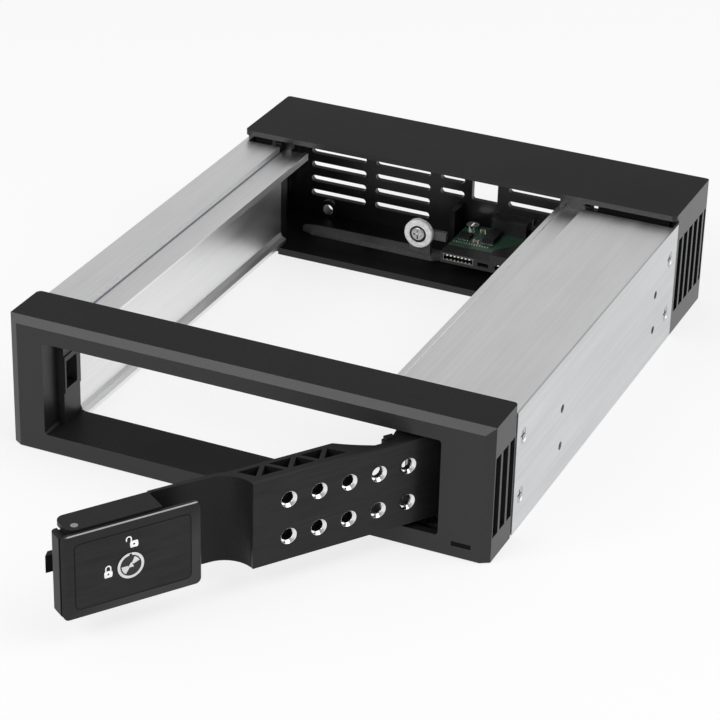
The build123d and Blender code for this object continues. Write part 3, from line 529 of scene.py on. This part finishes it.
# Ejector: a stamped steel slide in the right rail works a long lever, cast in zinc, on a steel pin.
# A white moulded pad is screwed to the lever and pushes the drive out as the door opens.
# A thin rubber washer lies round the pan head of its screw.
ZINC_GREY = (0.065, 0.065, 0.067)
ZINC_DARK, ZINC_LIGHT = (0.055, 0.055, 0.057), (0.075, 0.075, 0.078)
zinc_finish, tree, shader = blank("cast_zinc", ZINC_GREY, 0.38, specular=0.4)
grain = use_group(tree, moulded_grain, place_on(tree), Scale=2600.0)
mottled = blend_colours(tree, spread(tree, grain["Speck"], 0, 1), ZINC_DARK, ZINC_LIGHT)
tree.links.new(mottled, shader.inputs["Base Color"])
tree.links.new(spread(tree, grain["Flow"], 0.33, 0.44), shader.inputs["Roughness"])
raise_surface(tree, shader, grain["Height"], 0.012)
pad_finish = moulded("pad_white", (0.62, 0.62, 0.61), 0.32, scale=2600.0, depth=0.006, specular=0.5)
pan_finish = polished("pan_head", (0.42, 0.42, 0.43), 0.16)
dress("ejector_slide", steel_finish, soften=0.1)
dress("ejector_lever", zinc_finish, soften=0.2)
dress("lever_pivot_pin", steel_finish, soften=0.1)
dress("ejector_pad", pad_finish, soften=0.12)
dress("pad_screw", pan_finish, soften=0.1, steps=3)


def join_rings(made, rings, first_finish=0):
    for step, (outer, inner) in enumerate(zip(rings, rings[1:])):
        for i in range(len(outer)):
            j = (i + 1) % len(outer)
            face = made.faces.new((outer[i], outer[j], inner[j], inner[i]))
            face.material_index = 0 if step else first_finish


ROUND = [2 * math.pi * i / 48 for i in range(48)]
WASHER_PROFILE = ((2.0, -0.05), (2.68, -0.05), (2.78, 0.05))  # radius, and depth from the pad's face
pad_low, pad_high = (Vector(corner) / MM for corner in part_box("ejector_pad"))
middle_x, middle_z = (pad_low.x + pad_high.x) / 2, (pad_low.z + pad_high.z) / 2
washer = bmesh.new()
rings = []
for radius, depth in WASHER_PROFILE:
    rings.append([washer.verts.new(Vector((middle_x + radius * math.cos(a), pad_low.y + depth,
                                           middle_z + radius * math.sin(a))) * MM) for a in ROUND])
join_rings(washer, rings)
rubber_finish = moulded("washer_rubber", (0.012, 0.012, 0.012), 0.5, scale=3000.0, depth=0.01)
finish_piece("pad_washer", washer, (rubber_finish,), "ejector")

# Door: a ribbed black moulding that swings on a steel pin in the right side of the bezel.
# A thin aluminium plate, brushed lengthwise and anodised black, is bonded to its face.
# It is drawn open, so the brushed finish is turned back to the shut door before it is laid on.
DOOR_TURN = math.radians(55.24)
HINGE = Vector((45.35, 9.73, 0))


def shut_place(tree):
    node = tree.nodes.new("ShaderNodeVectorRotate")
    node.rotation_type = "Z_AXIS"
    node.inputs["Center"].default_value = HINGE * MM
    node.inputs["Angle"].default_value = -DOOR_TURN
    tree.links.new(place_on(tree), node.inputs["Vector"])
    return node.outputs[0]


def along_door(tree):
    node = tree.nodes.new("ShaderNodeVectorRotate")
    node.rotation_type = "Z_AXIS"
    node.inputs["Angle"].default_value = math.radians(90)
    tree.links.new(shut_place(tree), node.inputs["Vector"])
    return node.outputs[0]


DOOR_BLACK = (0.010, 0.010, 0.0103)
PLATE_DARK, PLATE_LIGHT = (0.0125, 0.0125, 0.0128), (0.027, 0.027, 0.0275)
PLATE_ACROSS, PLATE_ALONG = 3200.0, 34.0
door_finish = moulded("door_black", DOOR_BLACK, 0.36, depth=0.012, specular=0.14)
plate_finish = brushed("plate_black", PLATE_DARK, PLATE_LIGHT, 0.34, PLATE_ACROSS, PLATE_ALONG, 0.005,
                       metal=0.3, specular=0.2, vector_of=along_door)
dress("door_body", door_finish, soften=0.18)
dress("door_face_plate", plate_finish, soften=0.08)
dress("hinge_pin", steel_finish, soften=0.1)


# Countersinks: the ten holes of the face plate, drilled and countersunk after it was anodised.
# The cutter went through the black coat, so each cone and the short bore under it are bright
# bare aluminium, inside a narrow rim that is still black.
def door_point(x, y, z):
    flat = Vector((x, y, 0)) - HINGE
    flat.rotate(Matrix.Rotation(DOOR_TURN, 3, "Z"))
    return (flat + HINGE + Vector((0, 0, z))) * MM


HOLE_COLUMNS = 5
HOLE_FIRST_X = 38.8
HOLE_PITCH = 9.02
HOLE_ROWS = (14.05, 25.1)
SINK_PROFILE = (  # radius, and depth from the plate's face
    (2.92, -0.010), (2.34, -0.012), (2.26, 0.045), (1.62, 0.78), (1.56, 0.86), (1.55, 1.15),
)
sinks = bmesh.new()
for column in range(HOLE_COLUMNS):
    x = HOLE_FIRST_X - HOLE_PITCH * column
    for z in HOLE_ROWS:
        rings = []
        for radius, depth in SINK_PROFILE:
            points = [door_point(x + radius * math.cos(a), depth, z + radius * math.sin(a)) for a in ROUND]
            rings.append([sinks.verts.new(point) for point in points])
        join_rings(sinks, rings, first_finish=1)
cut_finish = polished("cut_aluminium", (0.86, 0.86, 0.87), 0.16, scale=3500.0, depth=0.003)
finish_piece("countersinks", sinks, (cut_finish, plate_finish), "door", smooth=True)

# Lever handle: a black moulding that swings on a steel pin in the door, with a coil spring round it.
# Its front plate is pressed from the same black brushed sheet, with a raised middle and sloping
# borders, and its cut top edge is bare. Painted light is added on the plate: one side of its border is
# coloured lighter, and a dark outline of painted shade runs round the raised middle. Where the plate
# meets the moulding, a narrow band of painted shade, also made duller, stands for the dark gap there.
SEAM = (1.1, 1.75)
# the tone of the painted shade in the gap behind the plate
SEAM_PAINTED_SHADE = (0.001, 0.001, 0.001)
SEAM_DULL = 0.6
handle_finish = moulded("handle_black_painted_gap_shade", DOOR_BLACK, 0.36, depth=0.012, specular=0.14)
tree = handle_finish.node_tree
shader = tree.nodes["Principled BSDF"]
spot = split_place(tree, shut_place(tree))
# painted shade: a narrow dark band on the moulding just behind the plate, in the gap where the two meet
gap_shade_band = near(tree, spot["Y"], sum(SEAM) / 2, SEAM[1] - SEAM[0])
grained = shader.inputs["Base Color"].links[0].from_socket
tree.links.new(blend_colours(tree, gap_shade_band, grained, SEAM_PAINTED_SHADE), shader.inputs["Base Color"])
worn = shader.inputs["Roughness"].links[0].from_socket
dulled = calc(tree, "ADD", worn, calc(tree, "MULTIPLY", gap_shade_band, SEAM_DULL))
tree.links.new(dulled, shader.inputs["Roughness"])
dress("handle_body", handle_finish, soften=0.18)
dress("handle_pin", screw_finish, soften=0.15, steps=3)
dress("handle_spring", steel_finish)

PANEL_MIDDLE = (-42.1, 19.75)
PANEL_HALF = (16.2, 9.5)
PANEL_CORNER = 1.4
PANEL_LIFT = 0.22
PANEL_FOOT = 0.01
BORDER_WIDE = 2.4
# painted light on the plate's real sloping border: a lighter tone for one side, and a dark outline of
# painted shade along the crease round the raised middle
BORDER_PAINTED_LIGHT = (0.040, 0.040, 0.041)
OUTLINE_PAINTED_SHADE = (0.003, 0.003, 0.003)
CUT_GREY = (0.20, 0.20, 0.20)
CUT_TOP = (31.68, 31.78)
CUT_DEPTH = (0.26, 0.36)
panel_finish, tree, shader = blank("handle_plate_black_painted_border_light", PLATE_LIGHT, 0.34, metal=0.3, specular=0.2)
marks = use_group(tree, brush_marks, along_door(tree), Across=PLATE_ACROSS, Along=PLATE_ALONG)
streaked = streak_colours(tree, marks, PLATE_DARK, PLATE_LIGHT)
tree.links.new(spread(tree, marks["Cloud"], 0.30, 0.39), shader.inputs["Roughness"])
raise_surface(tree, shader, marks["Streak"], 0.005)
# how far a point lies outside the panel's inner corners, and how much painted light its side of the border
# gets
spot = split_place(tree, shut_place(tree))
outside = []
for axis, middle, half in ((0, PANEL_MIDDLE[0], PANEL_HALF[0]), (2, PANEL_MIDDLE[1], PANEL_HALF[1])):
    offset = calc(tree, "ABSOLUTE", calc(tree, "SUBTRACT", spot[axis], middle * MM))
    past = calc(tree, "SUBTRACT", offset, (half - PANEL_CORNER) * MM)
    outside.append(calc(tree, "POWER", calc(tree, "MAXIMUM", past, 0.0), 2))
reach = calc(tree, "SQRT", calc(tree, "ADD", *outside))
across = calc(tree, "SUBTRACT", spot["X"], PANEL_MIDDLE[0] * MM)
above = calc(tree, "SUBTRACT", spot["Z"], PANEL_MIDDLE[1] * MM)
fall = calc(tree, "SUBTRACT", calc(tree, "MULTIPLY", across, 0.6), above)
painted_light_side = spread(tree, fall, 0.0, 1.0, 0.0, 9 * MM)
border = spread(tree, reach, 0.0, 1.0, PANEL_CORNER * MM, (PANEL_CORNER + 0.25) * MM)
# one side of the border is painted lighter and the crease round the raised middle painted dark as shade, on
# top of the slope's real shading
border_light_painted = blend_colours(tree, calc(tree, "MULTIPLY", border, painted_light_side), streaked, BORDER_PAINTED_LIGHT)
outline_shade_painted = blend_colours(tree, near(tree, reach, PANEL_CORNER, 0.22), border_light_painted, OUTLINE_PAINTED_SHADE)
cut_edge = calc(tree, "MULTIPLY", spread(tree, spot["Z"], 0.0, 1.0, CUT_TOP[0] * MM, CUT_TOP[1] * MM),
                spread(tree, spot["Y"], 1.0, 0.0, CUT_DEPTH[0] * MM, CUT_DEPTH[1] * MM))
tree.links.new(blend_colours(tree, cut_edge, outline_shade_painted, CUT_GREY), shader.inputs["Base Color"])
tree.links.new(spread(tree, cut_edge, 0.3, 1.0, 0.0, 1.0), shader.inputs["Metallic"])
dress("handle_plate", panel_finish, soften=0.12)

LOCK_X, LOCK_Z = -43.05, 19.2
LOCK_HOLE_R = 3.45
CORNER_STEPS = 8
SIDE_STEPS = 16
panel = bmesh.new()


def panel_loop(grow, depth):
    corner = PANEL_CORNER + 0.8 * grow
    points = []
    for turn in range(4):
        x = PANEL_MIDDLE[0] + (1, -1, -1, 1)[turn] * (PANEL_HALF[0] + grow - corner)
        z = PANEL_MIDDLE[1] + (1, 1, -1, -1)[turn] * (PANEL_HALF[1] + grow - corner)
        for i in range(CORNER_STEPS + 1):
            a = math.radians(90 * turn + 90 * i / CORNER_STEPS)
            points.append((x + corner * math.cos(a), z + corner * math.sin(a)))
    full = []
    for (x0, z0), (x1, z1) in zip(points, points[1:] + points[:1]):
        steps = SIDE_STEPS if math.dist((x0, z0), (x1, z1)) > 2 else 1
        full += [(x0 + (x1 - x0) * k / steps, z0 + (z1 - z0) * k / steps) for k in range(steps)]
    return full, [panel.verts.new(door_point(x, depth, z)) for x, z in full]


middle_points, middle_loop = panel_loop(0, -PANEL_LIFT)
foot_loop = panel_loop(BORDER_WIDE, -PANEL_FOOT)[1]
hole_loop = []
for x, z in middle_points:
    a = math.atan2(z - LOCK_Z, x - LOCK_X)
    hole_loop.append(panel.verts.new(door_point(LOCK_X + LOCK_HOLE_R * math.cos(a), -PANEL_LIFT,
                                                LOCK_Z + LOCK_HOLE_R * math.sin(a))))
join_rings(panel, (foot_loop, middle_loop, hole_loop))
finish_piece("plate_panel", panel, (panel_finish,), "handle")

# Lock: a chromed metal barrel pressed through the handle, with a turning plug in it.
# The plug's face is a shallow cone coloured dark as a painted dark reflection, with two chrome
# sectors and a small chrome triangle laid on it as painted bright reflections.
# A steel cam is fixed on its tail, and a steel clip holds the barrel from behind.
FACE_R = 2.95
FACE_STEPS = 48
# the chrome patches that paint the bright part of the face's reflection: two sectors and a small triangle
BRIGHT_REFLECTION_SECTORS = ((22, 66), (178, 236))
REFLECTION_SECTOR_STEPS = 6
REFLECTION_SECTOR_R = (0.7, 2.6)
HIGHLIGHT_TRIANGLE_R = 1.0
HIGHLIGHT_TRIANGLE_CORNERS = (85, 210, 330)
lock_chrome = polished("lock_chrome", (0.80, 0.80, 0.81), 0.15, scale=1500.0, depth=0.003)
# a dark metal that paints the dark part of the face's reflection
dark_reflection_finish = polished("lock_painted_dark_reflection", (0.035, 0.035, 0.036), 0.3, metal=0.6, scale=1500.0, depth=0.003)
dress("lock_barrel", lock_chrome, soften=0.12, steps=3)
dress("lock_plug", lock_chrome, soften=0.08)
dress("lock_cam", steel_finish, soften=0.08)
dress("lock_clip", steel_finish, soften=0.08)
face = bmesh.new()


def face_point(radius, degrees, depth):
    a = math.radians(degrees)
    return face.verts.new(door_point(LOCK_X + radius * math.cos(a), depth, LOCK_Z + radius * math.sin(a)))


# the dark cone of painted reflection, then the chrome sectors and triangle as painted bright reflections
for i in range(FACE_STEPS):
    a, b = (360 * j / FACE_STEPS for j in (i, i + 1))
    face.faces.new((face_point(0, 0, -0.42), face_point(FACE_R, a, -0.53), face_point(FACE_R, b, -0.53)))
for start, end in BRIGHT_REFLECTION_SECTORS:
    for k in range(REFLECTION_SECTOR_STEPS):
        a, b = (start + (end - start) * j / REFLECTION_SECTOR_STEPS for j in (k, k + 1))
        reflection_sector = face.faces.new((face_point(REFLECTION_SECTOR_R[0], a, -0.50), face_point(REFLECTION_SECTOR_R[1], a, -0.54),
                                 face_point(REFLECTION_SECTOR_R[1], b, -0.54), face_point(REFLECTION_SECTOR_R[0], b, -0.50)))
        reflection_sector.material_index = 1
highlight_triangle = face.faces.new([face_point(HIGHLIGHT_TRIANGLE_R, corner, -0.55) for corner in HIGHLIGHT_TRIANGLE_CORNERS])
highlight_triangle.material_index = 1
finish_piece("lock_face", face, (dark_reflection_finish, lock_chrome), "lock")

# Lock signs: an open and a shut padlock in white ink, pad printed on the raised middle of the plate,
# one over the lock and one beside it. They are plain symbols with no words.
INK_Y = -PANEL_LIFT - 0.02
SIGN_HALF = (1.15, 0.95)
KEYHOLE_R = 0.28
BOW_R = (0.5, 0.85)
BOW_LIFT = 0.75
BOW_ASIDE = 1.45
BOW_GAP = 0.3
ink_finish = moulded("white_ink", (0.78, 0.78, 0.78), 0.5, scale=3000.0, depth=0.004, specular=0.3)


def padlock(name, x, z, opened):
    made = bmesh.new()

    def patch(*points):
        made.faces.new([made.verts.new(door_point(px, INK_Y, pz)) for px, pz in points])

    hole, edge = [], []
    for i in range(16):
        c, s = math.cos(i * math.pi / 8), math.sin(i * math.pi / 8)
        reach = min(SIGN_HALF[0] / max(abs(c), 1e-6), SIGN_HALF[1] / max(abs(s), 1e-6))
        hole.append((x + KEYHOLE_R * c, z + KEYHOLE_R * s))
        edge.append((x + reach * c, z + reach * s))
    for i in range(16):
        j = (i + 1) % 16
        patch(hole[i], edge[i], edge[j], hole[j])
    bow_x = x - BOW_ASIDE if opened else x
    bow_z = z + SIGN_HALF[1] + BOW_LIFT
    bow = []
    for i in range(11):
        a = math.radians(18 * i)
        bow.append([(bow_x + r * math.cos(a), bow_z + r * math.sin(a)) for r in BOW_R])
    for first, second in zip(bow, bow[1:]):
        patch(first[0], first[1], second[1], second[0])
    foot = z + SIGN_HALF[1] - 0.1
    left_foot = foot + BOW_GAP if opened else foot
    for x0, x1, low in ((bow_x - BOW_R[1], bow_x - BOW_R[0], left_foot),
                        (bow_x + BOW_R[0], bow_x + BOW_R[1], foot)):
        patch((x0, low), (x1, low), (x1, bow_z), (x0, bow_z))
    finish_piece(name, made, (ink_finish,), "handle")


padlock("padlock_open", -41.9, 25.1, True)
padlock("padlock_shut", -49.2, 18.2, False)

# Floor: the matt white table that the rack stands on, a hair below its underside.
# To the camera, and in metal and glass, it shines partly by itself: it reads as white there,
# and still keeps the rack's faint shadow.
FLOOR_WHITE = (0.90, 0.90, 0.90)
FLOOR_GLOW = 0.75
FLOOR_HALF = 3.0
FLOOR_DROP = 0.3
floor_finish, tree, shader = blank("table_white", FLOOR_WHITE, 0.65, specular=0.2)
grain = use_group(tree, moulded_grain, place_on(tree), Scale=300.0)
tree.links.new(spread(tree, grain["Flow"], 0.6, 0.7), shader.inputs["Roughness"])
paths = tree.nodes.new("ShaderNodeLightPath").outputs
seen = calc(tree, "MAXIMUM", paths["Is Camera Ray"], paths["Is Glossy Ray"])
seen = calc(tree, "MAXIMUM", seen, paths["Is Transmission Ray"])
glow = tree.nodes.new("ShaderNodeEmission")
mix = tree.nodes.new("ShaderNodeMixShader")
tree.links.new(calc(tree, "MULTIPLY", seen, FLOOR_GLOW), mix.inputs[0])
tree.links.new(shader.outputs[0], mix.inputs[1])
tree.links.new(glow.outputs[0], mix.inputs[2])
tree.links.new(mix.outputs[0], tree.nodes["Material Output"].inputs["Surface"])
table = bmesh.new()
bmesh.ops.create_grid(table, x_segments=1, y_segments=1, size=FLOOR_HALF)
table_data = bpy.data.meshes.new("floor")
table.to_mesh(table_data)
table.free()
table_data.materials.append(floor_finish)
floor = bpy.data.objects.new("floor", table_data)
floor.location.z = -FLOOR_DROP * MM
scene.collection.objects.link(floor)
